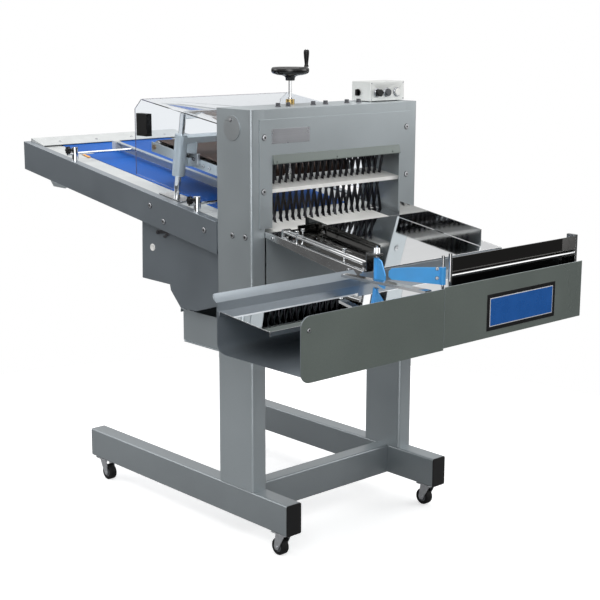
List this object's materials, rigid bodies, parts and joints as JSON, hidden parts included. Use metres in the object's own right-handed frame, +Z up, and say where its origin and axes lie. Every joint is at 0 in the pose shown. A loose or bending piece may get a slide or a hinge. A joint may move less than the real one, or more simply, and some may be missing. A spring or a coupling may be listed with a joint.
{
  "type": "commercial bread slicer",
  "caption": "Floor-standing band bread slicer with inclined infeed conveyor, press, crossed blades, outfeed bed, bagging trough and crumb drawer.",
  "frame": {"origin": "middle of the object's footprint, on the floor", "axes": "+Z up, -Y towards the operator at the outfeed side, +X to the operator's right"},
  "size_m": [1.1944, 2.0256, 1.536],
  "materials": {
    "grey_paint": "satin metallic",
    "light_grey_paint": "satin",
    "cream_paint": "satin",
    "black_plastic": "matte",
    "white_plastic": "matte",
    "blue_plastic": "satin",
    "polished_steel": "mirror polished",
    "steel": "brushed",
    "zinc": "zinc plated",
    "blade_steel": "oiled",
    "drum_alloy": "machined",
    "cast": "painted",
    "blue_belt": "matte",
    "brown_belt": "matte",
    "black_rubber": "matte",
    "clear_sheet": "clear plastic"
  },
  "bodies": {
    "frame": {"base_tubes": "grey_paint", "foot_end_plugs": "black_plastic", "columns": "grey_paint", "caster_plates": "zinc", "top_cover": "light_grey_paint", "front_cover": "grey_paint", "visor": "light_grey_paint", "rear_cover": "grey_paint", "chamber_panels": "grey_paint", "bearing_blocks": "cast", "blade_bands": "blade_steel", "lower_blade_guide": "white_plastic", "control_box": "light_grey_paint", "motor": "cast", "drive_belts": "black_rubber", "drive_housing": "grey_paint", "infeed_rails": "grey_paint", "infeed_bed": "cream_paint", "infeed_belt": "blue_belt", "infeed_end_cover": "cream_paint", "infeed_posts": "polished_steel", "outfeed_bed": "polished_steel", "outfeed_arms": "polished_steel", "outfeed_rods": "polished_steel", "trough_housing": "grey_paint", "bag_side_panel": "grey_paint", "packing_tray": "polished_steel", "stop_plate": "polished_steel", "fasteners": "zinc"},
    "upper_drum": {"upper_drum": "drum_alloy"},
    "lower_drum": {"lower_drum": "drum_alloy"},
    "motor_pulley": {"motor_pulley": "steel"},
    "upper_blade_guide": {"upper_blade_guide": "white_plastic"},
    "handwheel": {"handwheel": "black_plastic"},
    "crank_handle": {"crank_handle": "black_plastic"},
    "speed_knob": {"speed_knob": "black_plastic"},
    "stop_button": {"stop_button": "black_plastic"},
    "start_button": {"start_button": "white_plastic"},
    "power_switch": {"power_switch": "black_plastic"},
    "crumb_drawer": {"crumb_drawer": "grey_paint"},
    "drive_roller": {"drive_roller": "steel"},
    "tail_roller": {"tail_roller": "steel"},
    "lane_guide": {"lane_guide": "steel"},
    "press": {"press_frame": "light_grey_paint", "press_belt": "brown_belt"},
    "press_front_roller": {"press_front_roller": "steel"},
    "press_rear_roller": {"press_rear_roller": "steel"},
    "clear_cover": {"clear_cover": "clear_sheet"},
    "left_outfeed_guide": {"left_outfeed_guide": "polished_steel"},
    "right_outfeed_guide": {"right_outfeed_guide": "polished_steel"},
    "back_finger": {"back_finger": "blue_plastic"},
    "front_finger": {"front_finger": "blue_plastic"},
    "front_left_fork": {"front_left_fork": "zinc"},
    "front_left_wheel": {"front_left_wheel": "black_rubber"},
    "front_right_fork": {"front_right_fork": "zinc"},
    "front_right_wheel": {"front_right_wheel": "black_rubber"},
    "rear_left_fork": {"rear_left_fork": "zinc"},
    "rear_left_wheel": {"rear_left_wheel": "black_rubber"},
    "rear_right_fork": {"rear_right_fork": "zinc"},
    "rear_right_wheel": {"rear_right_wheel": "black_rubber"}
  },
  "joints": [
    {"name": "lower_drum_spin", "type": "hinge", "parent": "frame", "child": "lower_drum", "pos_m": [0.23275, -0.19225, 0.814], "axis": [1, 0, 0], "continuous": true},
    {"name": "upper_drum_spin", "type": "hinge", "parent": "frame", "child": "upper_drum", "pos_m": [0.23275, -0.19225, 1.306], "axis": [1, 0, 0], "continuous": true},
    {"name": "motor_spin", "type": "hinge", "parent": "frame", "child": "motor_pulley", "pos_m": [0.51275, 0.23775, 0.855], "axis": [1, 0, 0], "continuous": true},
    {"name": "drive_roller_spin", "type": "hinge", "parent": "frame", "child": "drive_roller", "pos_m": [0.23275, -0.06725, 0.99168], "axis": [1, 0, 0], "continuous": true},
    {"name": "tail_roller_spin", "type": "hinge", "parent": "frame", "child": "tail_roller", "pos_m": [0.23275, 0.95775, 1.14902], "axis": [1, 0, 0], "continuous": true},
    {"name": "press_height", "type": "slide", "parent": "frame", "child": "press", "axis": [0, -0.1517, 0.9884], "range_m": [-0.05, 0.05]},
    {"name": "press_front_roller_spin", "type": "hinge", "parent": "press", "child": "press_front_roller", "pos_m": [0.23275, -0.06225, 1.14301], "axis": [1, 0, 0], "continuous": true},
    {"name": "press_rear_roller_spin", "type": "hinge", "parent": "press", "child": "press_rear_roller", "pos_m": [0.23275, 0.35075, 1.20641], "axis": [1, 0, 0], "continuous": true},
    {"name": "handwheel_turn", "type": "hinge", "parent": "frame", "child": "handwheel", "pos_m": [0.16275, -0.12625, 1.47], "axis": [0, 0, 1], "range_deg": [-1080, 1080]},
    {"name": "blade_guide_height", "type": "slide", "parent": "frame", "child": "upper_blade_guide", "axis": [0, 0, 1], "range_m": [-0.01499, 0.01499]},
    {"name": "crank_handle_spin", "type": "hinge", "parent": "handwheel", "child": "crank_handle", "pos_m": [0.19875, -0.16225, 1.505], "axis": [0, 0, 1], "continuous": true},
    {"name": "speed_turn", "type": "hinge", "parent": "frame", "child": "speed_knob", "pos_m": [0.45675, -0.22225, 1.394], "axis": [0, 1, 0], "range_deg": [-135, 135]},
    {"name": "stop_press", "type": "slide", "parent": "frame", "child": "stop_button", "axis": [0, 1, 0], "range_m": [0, 0.003], "stiffness_N_per_m": 600, "springref_m": -0.002},
    {"name": "start_press", "type": "slide", "parent": "frame", "child": "start_button", "axis": [0, 1, 0], "range_m": [0, 0.003], "stiffness_N_per_m": 600, "springref_m": -0.002},
    {"name": "power_turn", "type": "hinge", "parent": "frame", "child": "power_switch", "pos_m": [0.42575, -0.16725, 1.394], "axis": [1, 0, 0], "range_deg": [0, 90]},
    {"name": "drawer_slide", "type": "slide", "parent": "frame", "child": "crumb_drawer", "axis": [0, 1, 0], "range_m": [0, 0.38]},
    {"name": "lane_guide_slide", "type": "slide", "parent": "frame", "child": "lane_guide", "axis": [1, 0, 0], "range_m": [-0.12, 0.018]},
    {"name": "clear_cover_hinge", "type": "hinge", "parent": "frame", "child": "clear_cover", "pos_m": [0.23275, -0.09225, 1.308], "axis": [1, 0, 0], "range_deg": [0, 70]},
    {"name": "left_guide_slide", "type": "slide", "parent": "frame", "child": "left_outfeed_guide", "axis": [1, 0, 0], "range_m": [-0.01, 0.08]},
    {"name": "right_guide_slide", "type": "slide", "parent": "frame", "child": "right_outfeed_guide", "axis": [1, 0, 0], "range_m": [-0.08, 0.012]},
    {"name": "back_finger_hinge", "type": "hinge", "parent": "frame", "child": "back_finger", "pos_m": [-0.04725, -0.72225, 0.93], "axis": [0, 0, 1], "range_deg": [-20, 20]},
    {"name": "front_finger_hinge", "type": "hinge", "parent": "frame", "child": "front_finger", "pos_m": [-0.07525, -0.99225, 0.965], "axis": [0, 0, 1], "range_deg": [-25, 12]},
    {"name": "front_left_swivel", "type": "hinge", "parent": "frame", "child": "front_left_fork", "pos_m": [-0.09725, -0.38725, 0.072], "axis": [0, 0, 1], "continuous": true},
    {"name": "front_left_roll", "type": "hinge", "parent": "front_left_fork", "child": "front_left_wheel", "pos_m": [-0.09725, -0.37225, 0.0275], "axis": [1, 0, 0], "continuous": true},
    {"name": "front_right_swivel", "type": "hinge", "parent": "frame", "child": "front_right_fork", "pos_m": [0.56275, -0.38725, 0.072], "axis": [0, 0, 1], "continuous": true},
    {"name": "front_right_roll", "type": "hinge", "parent": "front_right_fork", "child": "front_right_wheel", "pos_m": [0.56275, -0.37225, 0.0275], "axis": [1, 0, 0], "continuous": true},
    {"name": "rear_left_swivel", "type": "hinge", "parent": "frame", "child": "rear_left_fork", "pos_m": [-0.09725, 0.57275, 0.072], "axis": [0, 0, 1], "continuous": true},
    {"name": "rear_left_roll", "type": "hinge", "parent": "rear_left_fork", "child": "rear_left_wheel", "pos_m": [-0.09725, 0.55775, 0.0275], "axis": [1, 0, 0], "continuous": true},
    {"name": "rear_right_swivel", "type": "hinge", "parent": "frame", "child": "rear_right_fork", "pos_m": [0.56275, 0.57275, 0.072], "axis": [0, 0, 1], "continuous": true},
    {"name": "rear_right_roll", "type": "hinge", "parent": "rear_right_fork", "child": "rear_right_wheel", "pos_m": [0.56275, 0.55775, 0.0275], "axis": [1, 0, 0], "continuous": true}
  ],
  "couplings": [
    {"joint": "upper_drum_spin", "follows": "lower_drum_spin", "ratio": -1},
    {"joint": "motor_spin", "follows": "lower_drum_spin", "ratio": 2},
    {"joint": "drive_roller_spin", "follows": "lower_drum_spin", "ratio": 2.7586},
    {"joint": "tail_roller_spin", "follows": "lower_drum_spin", "ratio": 2.7586},
    {"joint": "press_front_roller_spin", "follows": "lower_drum_spin", "ratio": -3.2602},
    {"joint": "press_rear_roller_spin", "follows": "lower_drum_spin", "ratio": -3.2602},
    {"joint": "handwheel_turn", "follows": "blade_guide_height", "rad_per_m": 1256.6}
  ]
}
